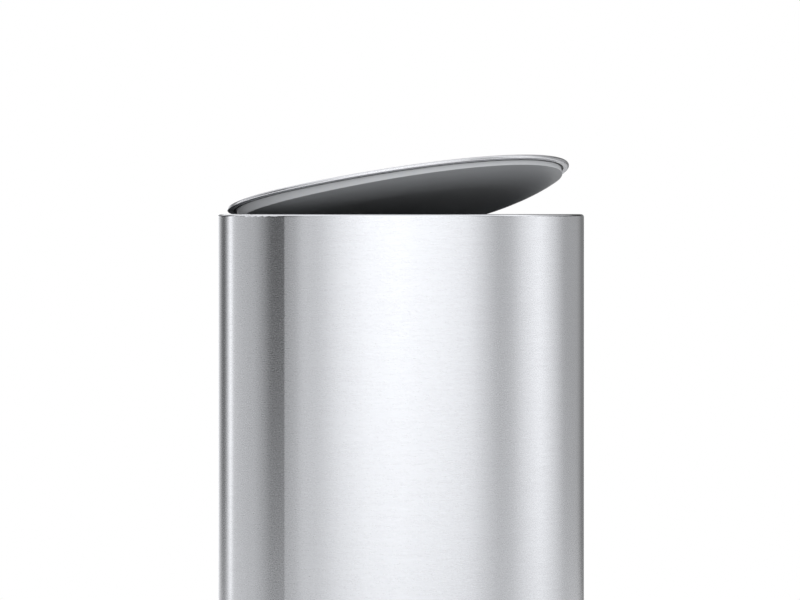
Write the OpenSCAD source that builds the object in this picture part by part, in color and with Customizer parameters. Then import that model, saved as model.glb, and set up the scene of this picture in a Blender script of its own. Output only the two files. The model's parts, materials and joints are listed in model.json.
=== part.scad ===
// Push top countertop bin: a steel body with a semi-round plan, a lid hinged at its flat back,
// a lift-out bucket and, behind the bucket, the damper and the push catch that work the lid.
// Millimetres. The front is -Y, the flat back is +Y, the bin stands on z = 0.

/* [Body] */
// Height of the bin from the feet to the rim
body_height = 240; // [200:1:280]
// Depth of the bin from the round front to the flat back
body_depth = 133; // [125:1:145]
// Radius of the round front
front_radius = 102.5; // [98:0.5:108]
// Thickness of the steel sheet
sheet = 0.6; // [0.5:0.05:0.8]
// Radius of the rolled lip at the rim
lip_radius = 1.3; // [1.1:0.05:1.5]
// Width of the flange turned in at the bottom of the body
flange_width = 5; // [4:0.5:6]

/* [Base] */
// Height of the rubber feet below the base tray
foot_height = 1.2; // [0.8:0.1:3]
// Radius of a foot
foot_radius = 7; // [5:0.5:9]
// Depth of the socket that holds a foot
foot_socket = 1; // [0.6:0.1:1.4]
// Thickness of the tray's floor
tray_floor = 2.8; // [2:0.1:4]
// Height of the tray's spigot inside the body
spigot_height = 8; // [6:0.5:12]
// Thickness of the spigot and of the tray's ribs
tray_wall = 1.8; // [1.2:0.1:2.5]
// Height of the ribs on the tray's floor
tray_rib = 3; // [2:0.5:4]
// Length of one snap tab on the spigot
tab_length = 14; // [8:1:20]

/* [Collar] */
// Wall of the moulded collar
collar_wall = 1.6; // [1.2:0.1:2]
// Gap between the collar and the body
collar_gap = 0.15; // [0.1:0.05:0.4]
// Depth of the lid seat below the rim
seat_drop = 8.5; // [8:0.25:10]
// Width of the lid seat from the body's outside
seat_reach = 10.4; // [9.5:0.1:11]
// Depth of the deck behind the bucket below the rim
deck_drop = 14; // [13.5:0.25:16]
// Distance of the bucket mouth from the body's outside
mouth_inset = 11; // [10.5:0.25:14]
// Depth of the deck between the bucket mouth and the flat back
deck_depth = 45; // [44:0.5:50]
// Depth of the bucket ledge below the rim
ledge_drop = 20; // [19.5:0.5:24]
// Width of the bucket ledge
ledge_width = 3.5; // [3:0.25:5]
// Depth of the mouth's skirt below the rim
skirt_drop = 30; // [26:1:40]
// Width of a steel lug that carries the collar
lug_width = 12; // [8:1:16]
// Thickness of the lugs and of the hinge bracket
bracket_sheet = 1.2; // [0.8:0.1:1.6]

/* [Mechanism bay] */
// Half of the bay's width
bay_half = 30; // [28:1:38]
// Depth of the bay's floor below the rim
bay_drop = 37; // [36:0.5:42]
// Thickness of the bay's cover
cover_sheet = 1.4; // [1.2:0.1:1.6]
// Half of the cover's width
cover_half = 41; // [40:1:48]

/* [Hinge] */
// Distance of the hinge axis from the body's flat back
hinge_inset = 4; // [3.9:0.05:4.4]
// Depth of the hinge axis below the rim
hinge_drop = 0; // [0:0.1:0.4]
// Radius of the hinge pin
pin_radius = 1.25; // [1:0.05:1.4]
// Radius of the hinge knuckles
knuckle_radius = 2.6; // [2.4:0.05:2.7]
// Half of the hinge's length
hinge_half = 40; // [36:1:50]
// Length of an outer knuckle of the collar
knuckle_length = 8; // [6:0.5:12]
// Radial clearance of a turning pin in its bore
bore_clearance = 0.05; // [0.02:0.01:0.1]
// Gap between parts that turn side by side
side_gap = 0.3; // [0.2:0.05:0.6]

/* [Lid] */
// Distance of the lid's edge from the body's outside
lid_inset = 4.9; // [4.6:0.1:5.6]
// Radius of the lid's rolled edge
edge_radius = 0.9; // [0.8:0.05:1.1]
// Thickness of the lid's steel sheet
lid_sheet = 0.5; // [0.4:0.05:0.6]
// Width of the hem turned in under the lid
hem_width = 2.7; // [2.2:0.1:3.2]
// Depth of the hem's underside below the rim, lid closed
hem_drop = 1.04; // [0.9:0.02:1.3]
// Width of the black seal between the hem and the liner
seal_width = 0.8; // [0.6:0.1:1.4]
// Depth that the seal stands below the hem
seal_proud = 0.12; // [0.06:0.02:0.3]
// Height of the liner's side wall at the back
liner_wall_height = 4.6; // [4:0.1:5.5]
// Depth of the dome below the liner's side wall
dome_depth = 5.2; // [4:0.1:5.4]
// Width of the dome's round shoulder
dome_shoulder = 24; // [20:1:28]
// Tilt of the dome, shallower to the front
dome_tilt = 1.2; // [1.2:0.1:2]
// Wall of the liner
liner_wall = 1.8; // [1.4:0.1:2.2]

/* [Motion] */
// Angle of the lid above closed, as drawn
rest_angle = 12.2; // [10:0.1:30]
// Angle that a push takes the lid below closed
press_angle = 2; // [1.5:0.1:2.2]
// Angle of the open lid above closed
open_angle = 60; // [52:1:60]

/* [Damper] */
// Module of the quadrant's and the pinion's teeth
gear_module = 0.6; // [0.6:0.05:0.6]
// Number of teeth on the damper's pinion
pinion_teeth = 12; // [12:1:12]
// Number of teeth that the quadrant would have as a full wheel
wheel_teeth = 114; // [112:1:115]
// Width of the quadrant's plate
quadrant_width = 3.6; // [3:0.2:4.4]
// Distance of the quadrant's middle plane from the bin's middle plane
quadrant_x = 11; // [10:0.5:13]
// Radius of the damper's barrel
damper_radius = 4.6; // [4.2:0.1:4.7]
// Length of the damper's barrel behind its flange
damper_length = 9; // [7:0.5:12]
// Radius of the pinion's shaft
shaft_radius = 1; // [0.8:0.05:1.1]

/* [Catch] */
// Radius of the follower's path about the hinge axis
cam_radius = 33; // [32:0.25:34]
// Direction of the closed catch from straight below the hinge axis
cam_angle = 50.5; // [49:0.5:52]
// Thickness of the catch cam's plate
cam_width = 4; // [3.4:0.1:5]
// Depth of the heart-shaped track in that plate
track_depth = 1.8; // [1.4:0.1:2.2]
// Distance of the cam's middle plane from the bin's middle plane
cam_x = -14; // [-15:0.5:-12]
// Radius of the follower's peg
peg_radius = 0.7; // [0.6:0.05:0.75]
// Length of the follower from its pivot to its peg
follower_length = 14; // [13:0.5:15]
// Distance of the track's side lanes from its middle
lane = 2.8; // [2.7:0.05:3]
// Radius of the follower's pivot pin
pivot_radius = 1; // [0.8:0.05:1.2]

/* [Springs] */
// Wire radius of a lid spring
lid_wire = 0.3; // [0.25:0.05:0.35]
// Mean radius of a lid spring's coil
lid_coil = 1.9; // [1.8:0.05:2]
// Turns of a lid spring
lid_turns = 8; // [5:1:9]
// Pitch of a lid spring's turns
lid_pitch = 1.25; // [1.1:0.05:1.3]
// Wire radius of the follower's spring
follower_wire = 0.2; // [0.15:0.05:0.25]
// Pitch of the follower's spring
follower_pitch = 1; // [0.9:0.05:1.1]

/* [Bucket] */
// Gap between the bucket's lip and the mouth
bucket_gap = 0.5; // [0.3:0.1:1]
// Wall of the bucket
bucket_wall = 1.5; // [1.2:0.1:2]
// Thickness of the bucket's lip
bucket_lip = 1.8; // [1.4:0.1:2.4]
// Distance that the bucket's wall leans in from top to bottom
bucket_lean = 6; // [4:0.5:8]
// Radius of the bucket's bottom edge
bucket_round = 8; // [5:0.5:12]
// Gap under the bucket
bucket_clearance = 3; // [2:0.5:6]

/* [Screws] */
// Radius of a screw's shank
screw_radius = 1.1; // [1:0.05:1.3]
// Radius of a screw's head
screw_head = 2.1; // [1.9:0.05:2.3]

/* [Hidden] */
$fn = 96;

steel = "#b9bbbd";
wire_steel = "#8f9294";
liner_grey = "#77797c";
collar_grey = "#4b4d50";
bucket_grey = "#5d6063";
rubber = "#26272a";
acetal = "#e3e2dc";

// A gap that keeps touching faces of one body from sharing material
touch = 0.05;
// How far a cut runs past the face that it opens
over = 1;

// A plan is a round front that runs tangent into two back corners and a flat back. It holds the
// front's radius, the corners' radius, the y of the flat back, and the cosine and the sine of the
// direction in which a corner's centre lies, below the line across the front's centre
back_y = body_depth / 2;
front_y = front_radius - back_y;
function plan(r, back, across, down) =
    [r, (back - front_y + down * r) / (1 + down), back, across, down];
body_plan = plan(front_radius, back_y, 0.96, 0.28);
mouth_plan = plan(front_radius - mouth_inset, back_y - deck_depth, 0.8, 0.6);

// Heights
rim_z = body_height;
tray_z = foot_height;
shell_z = tray_z + tray_floor;
seat_z = rim_z - seat_drop;
deck_z = rim_z - deck_drop;
ledge_z = rim_z - ledge_drop;
skirt_z = rim_z - skirt_drop;
bay_z = rim_z - bay_drop;
collar_top = rim_z - 2 * lip_radius - collar_gap;

// Insets from the body's outside
collar_out = sheet + collar_gap;
collar_in = collar_out + collar_wall;
seat_step = seat_reach - collar_wall;

// Hinge
hinge_y = back_y - hinge_inset;
hinge_z = rim_z - hinge_drop;
notch_half = hinge_half + 2;
notch_gap = 1.1;
notch_y = hinge_y - knuckle_radius - notch_gap;
rail_y = hinge_y - knuckle_radius - side_gap;
rail_depth = 2.5;
rail_height = 2;
centre_half = 6;
lid_knuckle_out = hinge_half - knuckle_length - side_gap;
lid_knuckle_length = 8;

// Lid heights and insets, lid closed
hem_z = rim_z - hem_drop;
lid_top_z = hem_z + 2 * edge_radius;
hem_in = lid_inset + hem_width;
seal_gap = 0.1;
liner_out = hem_in + seal_gap + seal_width + seal_gap;
flange_out = lid_inset + edge_radius;
flange_low = hem_z + lid_sheet + touch;
flange_top = lid_top_z - lid_sheet - touch;
core_inset = 38;
dome_reach = liner_out + dome_shoulder;
dome_radius = (dome_shoulder * dome_shoulder + dome_depth * dome_depth) / (2 * dome_depth);
dome_z = hem_z - liner_wall_height - dome_depth;
pad_z = dome_z + 0.8;
foot_sheet = 2.2;

// Gear pair: the quadrant is part of a wheel about the hinge axis
wheel_radius = gear_module * wheel_teeth / 2;
pinion_radius = gear_module * pinion_teeth / 2;
tooth_pitch = 360 / wheel_teeth;
pressure_angle = 25;
tooth_top = 0.75 * gear_module;
tooth_root = gear_module;
backlash = 0.1;
mesh_margin = 3.5;
tail_limit = 2.3;
mesh_angle = open_angle + mesh_margin + press_angle - tail_limit;
quadrant_in = wheel_radius - tooth_root - 4;

// Damper
damper_y = hinge_y - (wheel_radius + pinion_radius) * sin(mesh_angle);
damper_z = hinge_z - (wheel_radius + pinion_radius) * cos(mesh_angle);
pinion_width = quadrant_width + 0.4;
flange_x = quadrant_x + pinion_width / 2 + 2.2;
flange_sheet = 1.2;
ear_reach = 7.6;
ear_radius = 2.4;

// Catch
peg_y = hinge_y - cam_radius * sin(cam_angle);
peg_z = hinge_z - cam_radius * cos(cam_angle);
pivot_y = peg_y + follower_length * cos(cam_angle);
pivot_z = peg_z - follower_length * sin(cam_angle);
swing = asin(lane / follower_length);
press_rise = cam_radius * press_angle * PI / 180;
track_half = lane + peg_radius + 0.15;
leg_half = track_half + 1.6;
leg_tail = 6.5;
lever_x = cam_x - cam_width / 2 - 0.8;
lever_width = 1.6;
boss_width = 2;
boss_radius = 1.8;
post_width = 1.6;
post_half = 3;
post_left = lever_x - lever_width - boss_width - side_gap - post_width;
post_right = lever_x + side_gap;
pivot_length = post_right + post_width - post_left;
peg_end = cam_x - cam_width / 2 + track_depth - side_gap;

// Feet of the quadrant's and the cam's legs, and the pad under the lid that they are screwed to
foot_half = 8;
foot_length = 18;
foot_screw_x = 5.4;
foot_front = hinge_y - cam_radius - leg_half;
foot_y = foot_front + foot_length / 2;
pad_rim = 1.5;
foot_gap = 0.1;
lid_screw_length = 5.6;
leg_reach = 84;

// Bucket
bucket_top = ledge_z + bucket_lip;
bucket_z = shell_z + tray_rib + bucket_clearance;
bucket_out = ledge_width + 0.6;

// Place of a plan's right corner centre
function corner_x(p) = p[3] * (p[0] - p[1]);
function corner_y(p) = front_y - p[4] * (p[0] - p[1]);

// Point in the side plane: an angle from straight below the hinge axis to the front, and a radius
function below(a, r) = [hinge_y - r * sin(a), hinge_z - r * cos(a)];

// Point in the catch's track: s outwards from the hinge axis, t along the follower's path
function track(s, t) = below(cam_angle + t / cam_radius * 180 / PI, cam_radius + s);

// Part of the plane in which a plan's round front is its outline, and the same for one corner
module front_sector(p) {
    far = 400;
    polygon([
        [0, front_y],
        [far * p[3], front_y - far * p[4]],
        [far, -far],
        [-far, -far],
        [-far * p[3], front_y - far * p[4]]
    ]);
}

module corner_sector(p, side) {
    far = 400;
    x = corner_x(p);
    polygon([
        [side * x, corner_y(p)],
        [side * (x + far * p[3]), corner_y(p) - far * p[4]],
        [side * (x + far), corner_y(p) + far],
        [side * x, corner_y(p) + far]
    ]);
}

// Semi-round area, drawn inset by the same width all round
module d_area(p, inset = 0) {
    far = 400;
    intersection() {
        translate([0, front_y]) circle(r = p[0] - inset, $fn = 256);
        front_sector(p);
        translate([-far, -far]) square([2 * far, far + p[2] - inset]);
    }
    for (side = [-1, 1])
        translate([side * corner_x(p), corner_y(p)]) circle(r = p[1] - inset, $fn = 160);
    translate([-corner_x(p), corner_y(p)]) square([2 * corner_x(p), p[2] - inset - corner_y(p)]);
}

// Plate with the semi-round outline
module d_plate(p, inset, z, height) {
    translate([0, 0, z]) linear_extrude(height) d_area(p, inset);
}

// Upright band between two insets of the outline
module d_band(p, outer, inner, z, height) {
    translate([0, 0, z]) linear_extrude(height) difference() {
        d_area(p, outer);
        d_area(p, inner);
    }
}

// Carries a profile round the outline: x is 0 on the outline and negative inside it, y is the height
module d_sweep(p) {
    tall = 2 * body_height;
    intersection() {
        translate([0, front_y, 0]) rotate_extrude($fn = 256) translate([p[0], 0]) children();
        linear_extrude(tall) front_sector(p);
    }
    for (side = [-1, 1]) intersection() {
        translate([side * corner_x(p), corner_y(p), 0])
            rotate_extrude($fn = 160) translate([p[1], 0]) children();
        linear_extrude(tall) corner_sector(p, side);
    }
    translate([-corner_x(p), 0, 0]) rotate([90, 0, 90]) linear_extrude(2 * corner_x(p))
        translate([p[2], 0]) children();
}

// Rectangle of a swept profile between two insets and two heights
module in_box(outer, inner, low, high) {
    translate([-inner, low]) square([inner - outer, high - low]);
}

// Rectangle between two corners
module box2(a, b) {
    translate(a) square(b - a);
}

// Block between two corners
module box3(a, b) {
    translate(a) cube(b - a);
}

// Draws a shape of the side plane, y then z, as a plate from x upwards
module side_plate(x, width) {
    translate([x, 0, 0]) rotate([90, 0, 90]) linear_extrude(width) children();
}

// Rod along x
module rod(x, length, r, y, z) {
    translate([x, y, z]) rotate([0, 90, 0]) cylinder(r = r, h = length);
}

// Turns the closed lid's pieces to the angle at which the lid is drawn
module on_lid() {
    translate([0, hinge_y, hinge_z]) rotate([-rest_angle, 0, 0]) translate([0, -hinge_y, -hinge_z])
        children();
}

// Sheet body

module lip_profile() {
    bead_z = rim_z - lip_radius;
    in_box(0, sheet, shell_z, bead_z);
    in_box(0, flange_width, shell_z, shell_z + sheet);
    difference() {
        translate([-lip_radius, bead_z]) circle(r = lip_radius);
        translate([-lip_radius, bead_z]) circle(r = lip_radius - sheet);
        in_box(-over, lip_radius, bead_z - over - lip_radius, bead_z);
    }
}

module body_shell() {
    color(steel) difference() {
        d_sweep(body_plan) lip_profile();
        // The lip stops at the hinge
        box3(
            [-notch_half, back_y - 2 * lip_radius - over, collar_top],
            [notch_half, back_y - sheet, rim_z + over]
        );
        box3(
            [-notch_half, back_y - 2 * lip_radius - over, rim_z - lip_radius],
            [notch_half, back_y + over, rim_z + over]
        );
    }
}

// Base

foot_places = [[58, 26], [-58, 26], [42, -30], [-42, -30]];

module base_tray() {
    spigot_out = flange_width + 0.3;
    tab_z = shell_z + sheet + touch;
    color(collar_grey) difference() {
        union() {
            d_plate(body_plan, 0.1, tray_z, tray_floor - touch);
            d_band(body_plan, spigot_out, spigot_out + tray_wall, tray_z, tray_floor + spigot_height);
            // Snap tabs over the body's flange
            intersection() {
                d_band(body_plan, spigot_out - 1.4, spigot_out + tray_wall / 2, tab_z, 2);
                for (turn = [0 : 60 : 359])
                    rotate([0, 0, turn]) box3([0, -tab_length / 2, 0], [body_depth, tab_length / 2, body_height]);
            }
            // Ribs on the floor
            intersection() {
                d_plate(body_plan, spigot_out + tray_wall / 2, shell_z - 0.5, tray_rib + 0.5);
                for (turn = [0 : 30 : 179])
                    rotate([0, 0, turn]) box3(
                        [-body_depth, -tray_wall / 2, 0],
                        [body_depth, tray_wall / 2, body_height]
                    );
            }
        }
        for (place = foot_places)
            translate([place[0], place[1], 0]) cylinder(r = foot_radius + 0.1, h = tray_z + foot_socket);
    }
}

module feet() {
    chamfer = 0.6;
    color(rubber) for (place = foot_places)
        translate([place[0], place[1], 0]) {
            cylinder(r1 = foot_radius - chamfer, r2 = foot_radius, h = chamfer);
            translate([0, 0, chamfer]) cylinder(r = foot_radius, h = tray_z + foot_socket - chamfer);
        }
}

// Collar: lid seat, deck, bucket mouth, mechanism bay and the fixed half of the hinge

module collar_profile() {
    in_box(collar_out, collar_in, seat_z - collar_wall, collar_top);
    in_box(collar_out, seat_reach, seat_z - collar_wall, seat_z);
    in_box(seat_step, seat_reach, deck_z - collar_wall, seat_z);
}

bay_front = mouth_plan[2] + collar_wall;
bay_back = back_y - seat_reach;
post_radius = 2.6;
cover_x = (bay_half + collar_wall + cover_half) / 2;
cover_places = [
    for (x = [-cover_x, cover_x], y = [bay_front + post_radius, bay_back - 2 * post_radius]) [x, y]
];
bracket_places = [for (x = [-bay_half + 6, bay_half - 6]) [x, bay_back]];
bracket_post = 8;
cover_post = 7;

module collar_ears() {
    // Fixed knuckles of the hinge on their stems
    for (span = [[-hinge_half, -hinge_half + knuckle_length], [-centre_half, centre_half],
                 [hinge_half - knuckle_length, hinge_half]]) {
        rod(span[0], span[1] - span[0], knuckle_radius, hinge_y, hinge_z);
        box3(
            [span[0], hinge_y - knuckle_radius + 0.3, seat_z - collar_wall],
            [span[1], hinge_y + knuckle_radius - 0.4, hinge_z]
        );
    }
    // Posts of the follower's pivot
    for (x = [post_left, post_right])
        box3([x, pivot_y - post_half, bay_z - collar_wall],
             [x + post_width, pivot_y + post_half, pivot_z + post_half]);
    // Wall that carries the damper
    box3(
        [flange_x + flange_sheet, bay_front - collar_wall, bay_z - collar_wall],
        [flange_x + flange_sheet + collar_wall, damper_y + ear_reach + ear_radius + 1, deck_z - 0.1]
    );
}

module rim_collar() {
    color(collar_grey) difference() {
        union() {
            d_sweep(body_plan) collar_profile();
            translate([0, 0, deck_z - collar_wall]) linear_extrude(collar_wall) difference() {
                d_area(body_plan, seat_step + 0.4);
                d_area(mouth_plan, -0.4);
                box2([-bay_half, bay_front], [bay_half, bay_back]);
            }
            // Skirt and ledge of the bucket mouth
            d_band(mouth_plan, -collar_wall, 0, skirt_z, deck_z - skirt_z);
            d_band(mouth_plan, -collar_wall / 2, ledge_width, ledge_z - collar_wall, collar_wall);
            // Bay: two sides, a front and a floor
            for (x = [-bay_half - collar_wall, bay_half])
                box3([x, bay_front - collar_wall, bay_z - collar_wall],
                     [x + collar_wall, back_y - collar_in, deck_z - 0.1]);
            box3([-bay_half - collar_wall, bay_front - collar_wall, bay_z - collar_wall],
                 [bay_half + collar_wall, bay_front, deck_z - 0.1]);
            box3([-bay_half - collar_wall, bay_front - collar_wall, bay_z - collar_wall],
                 [bay_half + collar_wall, back_y - collar_in, bay_z]);
            collar_ears();
            for (place = bracket_places)
                translate([place[0], place[1], bay_z - collar_wall]) cylinder(r = post_radius, h = bracket_post);
            for (place = cover_places)
                translate([place[0], place[1], deck_z - cover_post]) cylinder(r = post_radius, h = cover_post);
        }
        // Hinge pin
        rod(-hinge_half - over, 2 * (hinge_half + over), pin_radius + bore_clearance / 2, hinge_y, hinge_z);
        // Pivot pin of the follower
        rod(post_left - over, pivot_length + 2 * over, pivot_radius + bore_clearance / 2, pivot_y, pivot_z);
        // Damper's barrel and its screws
        rod(flange_x, 4 * flange_sheet + collar_wall, damper_radius + 0.1, damper_y, damper_z);
        for (place = damper_ears)
            rod(flange_x, 4 * flange_sheet + collar_wall, screw_radius + touch, place[0], place[1]);
        for (place = bracket_places)
            translate([place[0], place[1], bay_z - collar_wall - over])
                cylinder(r = screw_radius + touch, h = bracket_post);
        for (place = cover_places)
            translate([place[0], place[1], deck_z - cover_post + over])
                cylinder(r = screw_radius + touch, h = cover_post);
    }
}

// Lugs welded inside the body, under the collar
lug_turns = [-40, -90, -140, 15, 165];

module collar_lugs() {
    top = seat_z - collar_wall;
    color(steel) intersection() {
        union() {
            d_band(body_plan, sheet + touch, sheet + bracket_sheet, top - 8, 8);
            d_band(body_plan, sheet + touch, seat_step - 1, top - bracket_sheet, bracket_sheet);
        }
        for (turn = lug_turns)
            rotate([0, 0, turn]) box3([0, -lug_width / 2, 0], [body_depth, lug_width / 2, rim_z]);
    }
}

// Steel angle welded to the flat back, under the bay
bracket_half = bay_half + collar_wall;
bracket_drop = 16;
bracket_reach = 11;

module hinge_bracket() {
    top = bay_z - collar_wall;
    wall = back_y - sheet - touch;
    color(steel) difference() {
        union() {
            box3([-bracket_half, wall - bracket_sheet, top - bracket_drop], [bracket_half, wall, top]);
            box3([-bracket_half, bay_back - bracket_reach, top - bracket_sheet], [bracket_half, wall, top]);
        }
        for (place = bracket_places)
            translate([place[0], place[1], top - 2 * bracket_sheet])
                cylinder(r = screw_radius + touch, h = 4 * bracket_sheet);
    }
}

// Screw with a round head below and its shank upwards
module pan_screw(length) {
    translate([0, 0, -1.5]) cylinder(r = screw_head + 0.6, h = 1.5);
    cylinder(r = screw_radius, h = length);
}

// Screw with a countersunk head, its top face at z = 0 and its shank downwards
module flat_screw(length) {
    head = screw_head - screw_radius;
    translate([0, 0, -head]) cylinder(r1 = screw_radius, r2 = screw_head, h = head);
    translate([0, 0, -length]) cylinder(r = screw_radius, h = length - head / 2);
}

bracket_screw_length = 7;

module bracket_screws() {
    color(wire_steel) for (place = bracket_places)
        translate([place[0], place[1], bay_z - collar_wall - bracket_sheet]) pan_screw(bracket_screw_length);
}

module hinge_pin() {
    color(wire_steel) rod(-hinge_half, 2 * hinge_half, pin_radius, hinge_y, hinge_z);
}

// Tube round a wire's path: each step is a point, its direction and a vector square to that
module wire(steps, r) {
    sides = 6;
    count = len(steps);
    points = [
        for (step = steps, k = [0 : sides - 1])
            let (turn = k * 360 / sides)
            step[0] + r * (cos(turn) * step[2] + sin(turn) * cross(step[1], step[2]))
    ];
    walls = [
        for (i = [0 : count - 2], k = [0 : sides - 1])
            let (a = i * sides + k, b = i * sides + (k + 1) % sides)
            each [[a, b, b + sides], [a, b + sides, a + sides]]
    ];
    first = [for (k = [1 : sides - 2]) [0, k + 1, k]];
    last = [for (k = [1 : sides - 2]) let (a = (count - 1) * sides) [a, a + k, a + k + 1]];
    polyhedron(points, concat(walls, first, last));
}

// Steps of a torsion spring about x: from turn a to turn b, with a straight leg at each end
function coil_steps(r, pitch, a, b, leg_a, leg_b) =
    let (
        rings = ceil((b - a) / 45),
        radial = function (t) [0, cos(t), sin(t)],
        along = function (t) [0, -sin(t), cos(t)],
        place = function (t) [pitch * (t - a) / 360, r * cos(t), r * sin(t)]
    )
    concat(
        [[place(a) - leg_a * along(a), along(a), radial(a)]],
        [for (i = [0 : rings]) let (t = a + (b - a) * i / rings) [place(t), along(t), radial(t)]],
        [[place(b) + leg_b * along(b), along(b), radial(b)]]
    );

// A lid spring pushes the liner's back wall forwards and stands on the lid seat
lid_spring_start = -82;
lid_spring_end = 180 + 360 * lid_turns;
lid_spring_length = lid_pitch * (lid_spring_end - lid_spring_start) / 360;
lid_spring_leg = 6.1;

module lid_spring() {
    x = -centre_half - 4 * side_gap - lid_spring_length;
    translate([x, hinge_y, hinge_z]) wire(
        coil_steps(lid_coil, lid_pitch, lid_spring_start, lid_spring_end,
                   lid_spring_leg, hinge_z - seat_z - side_gap),
        lid_wire
    );
}

module lid_spring_left() {
    color(wire_steel) lid_spring();
}

module lid_spring_right() {
    color(wire_steel) mirror([1, 0, 0]) lid_spring();
}

echo(lid_spring_gap = lid_pitch - 2 * lid_wire);

// Rubber buffers that stop the pushed lid
buffer_height = 2.8;
buffer_radius = 1.3;
buffer_turns = [-90, -55, -125];

module seat_buffers() {
    ring = front_radius - lid_inset - hem_width / 2;
    color(rubber) for (turn = buffer_turns)
        translate([ring * cos(turn), front_y + ring * sin(turn), seat_z])
            cylinder(r = buffer_radius, h = buffer_height);
}

// Cover of the bay

slot_gap = 0.8;
arc_slot_gap = 2.1;

// Where an arc about the hinge axis passes the deck
function deck_crossing(r) = hinge_y - sqrt(r * r - (hinge_z - deck_z) * (hinge_z - deck_z));

module cover_slots() {
    // Quadrant, pinion and damper
    box2([quadrant_x - quadrant_width / 2 - slot_gap, damper_y - damper_radius - 0.6],
         [quadrant_x + quadrant_width / 2 + slot_gap, deck_crossing(quadrant_in) + arc_slot_gap]);
    box2([quadrant_x - pinion_width / 2 - slot_gap, damper_y - damper_radius - 0.6],
         [flange_x + flange_sheet + damper_length + slot_gap, damper_y + damper_radius + 0.6]);
    // Catch cam
    box2([cam_x - cam_width / 2 - slot_gap, deck_crossing(cam_radius + leg_half) - arc_slot_gap],
         [cam_x + cam_width / 2 + slot_gap, deck_crossing(cam_radius - leg_half) + arc_slot_gap]);
}

module mechanism_cover() {
    color(collar_grey) difference() {
        translate([0, 0, deck_z]) linear_extrude(cover_sheet) difference() {
            box2([-cover_half, mouth_plan[2] + 0.4], [cover_half, bay_back - 0.4]);
            cover_slots();
        }
        for (place = cover_places) translate([place[0], place[1], deck_z + cover_sheet]) {
            head = screw_head - screw_radius;
            translate([0, 0, -head]) cylinder(r1 = screw_radius + 0.1, r2 = screw_head + 0.1, h = head + touch);
            translate([0, 0, -2 * cover_sheet]) cylinder(r = screw_radius + 0.1, h = 3 * cover_sheet);
        }
    }
}

module cover_screws() {
    color(wire_steel) for (place = cover_places)
        translate([place[0], place[1], deck_z + cover_sheet]) flat_screw(cover_post - over);
}

// Damper: a barrel with a flange, and the pinion on its shaft

damper_ears = [
    [damper_y, damper_z - ear_reach],
    [damper_y + ear_reach, damper_z]
];

module damper_body() {
    x = flange_x;
    color(rubber) difference() {
        union() {
            rod(x, flange_sheet + damper_length, damper_radius, damper_y, damper_z);
            side_plate(x, flange_sheet) {
                for (place = damper_ears) translate(place) circle(r = ear_radius);
                box2([damper_y - ear_radius, damper_z - ear_reach], [damper_y + ear_radius, damper_z]);
                box2([damper_y, damper_z - ear_radius], [damper_y + ear_reach, damper_z + ear_radius]);
            }
        }
        rod(x - over, over + damper_length * 0.7, shaft_radius + bore_clearance, damper_y, damper_z);
        for (place = damper_ears)
            rod(x - over, 2 * over + flange_sheet, screw_radius + touch, place[0], place[1]);
    }
}

module damper_screws() {
    color(wire_steel) for (place = damper_ears) {
        rod(flange_x - 1, 1, screw_head - 0.1, place[0], place[1]);
        rod(flange_x, flange_sheet + collar_wall + 1.5, screw_radius, place[0], place[1]);
    }
}

// Involute function in degrees, and half a tooth's angle at a radius
function involute(a) = tan(a) * 180 / PI - a;
function tooth_half(teeth, r) =
    let (
        pitch_r = gear_module * teeth / 2,
        base_r = pitch_r * cos(pressure_angle),
        local = acos(min(1, base_r / r))
    )
    90 / teeth - backlash / 4 / pitch_r * 180 / PI + involute(pressure_angle) - involute(local);

// Radii at which a tooth's flank is drawn
function flank(teeth) =
    let (
        pitch_r = gear_module * teeth / 2,
        root = pitch_r - tooth_root,
        foot = max(root, pitch_r * cos(pressure_angle)),
        top = pitch_r + tooth_top,
        steps = 4
    )
    concat(root < foot ? [root] : [], [for (i = [0 : steps]) foot + (top - foot) * i / steps]);

// Outline of one tooth, its middle at turn
function tooth(teeth, turn) =
    let (radii = flank(teeth), last = len(radii) - 1)
    concat(
        [for (i = [0 : last]) radii[i] * [cos(turn - tooth_half(teeth, radii[i])), sin(turn - tooth_half(teeth, radii[i]))]],
        [for (i = [last : -1 : 0]) radii[i] * [cos(turn + tooth_half(teeth, radii[i])), sin(turn + tooth_half(teeth, radii[i]))]]
    );

module damper_pinion() {
    // Direction from the pinion to the hinge axis in the side plane: a tooth gap lies there
    facing = 90 - mesh_angle;
    half_pitch = 180 / pinion_teeth;
    color(acetal) {
        translate([0, damper_y, damper_z]) side_plate(quadrant_x - pinion_width / 2, pinion_width)
            polygon([for (k = [0 : pinion_teeth - 1]) each tooth(pinion_teeth, facing + half_pitch + k * 2 * half_pitch)]);
        rod(quadrant_x, flange_x - quadrant_x + damper_length * 0.7 - 2, shaft_radius, damper_y, damper_z);
    }
}

// Catch: a peg on a swinging follower runs round a heart in the cam's track

follower_aim = 180 - cam_angle - swing;
lever_half = 1.4;
nub_reach = 6;
nub_radius = 0.7;

module catch_follower() {
    x = lever_x - lever_width;
    color(acetal) translate([0, pivot_y, pivot_z]) rotate([follower_aim, 0, 0]) difference() {
        union() {
            side_plate(x, lever_width) {
                circle(r = boss_radius + 0.4);
                translate([follower_length, 0]) circle(r = lever_half);
                box2([0, -lever_half], [follower_length, lever_half]);
            }
            rod(x - boss_width, boss_width + lever_width / 2, boss_radius, 0, 0);
            // Nub that the spring's leg presses on
            rod(x - boss_width + side_gap, boss_width - side_gap + lever_width / 2,
                nub_radius, nub_reach, lever_half - 0.1);
            rod(x + lever_width / 2, peg_end - x - lever_width / 2, peg_radius, follower_length, 0);
        }
        rod(x - boss_width - over, 2 * over + boss_width + lever_width, pivot_radius + bore_clearance, 0, 0);
    }
}

module catch_pivot_pin() {
    color(wire_steel) rod(post_left, pivot_length, pivot_radius, pivot_y, pivot_z);
}

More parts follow.
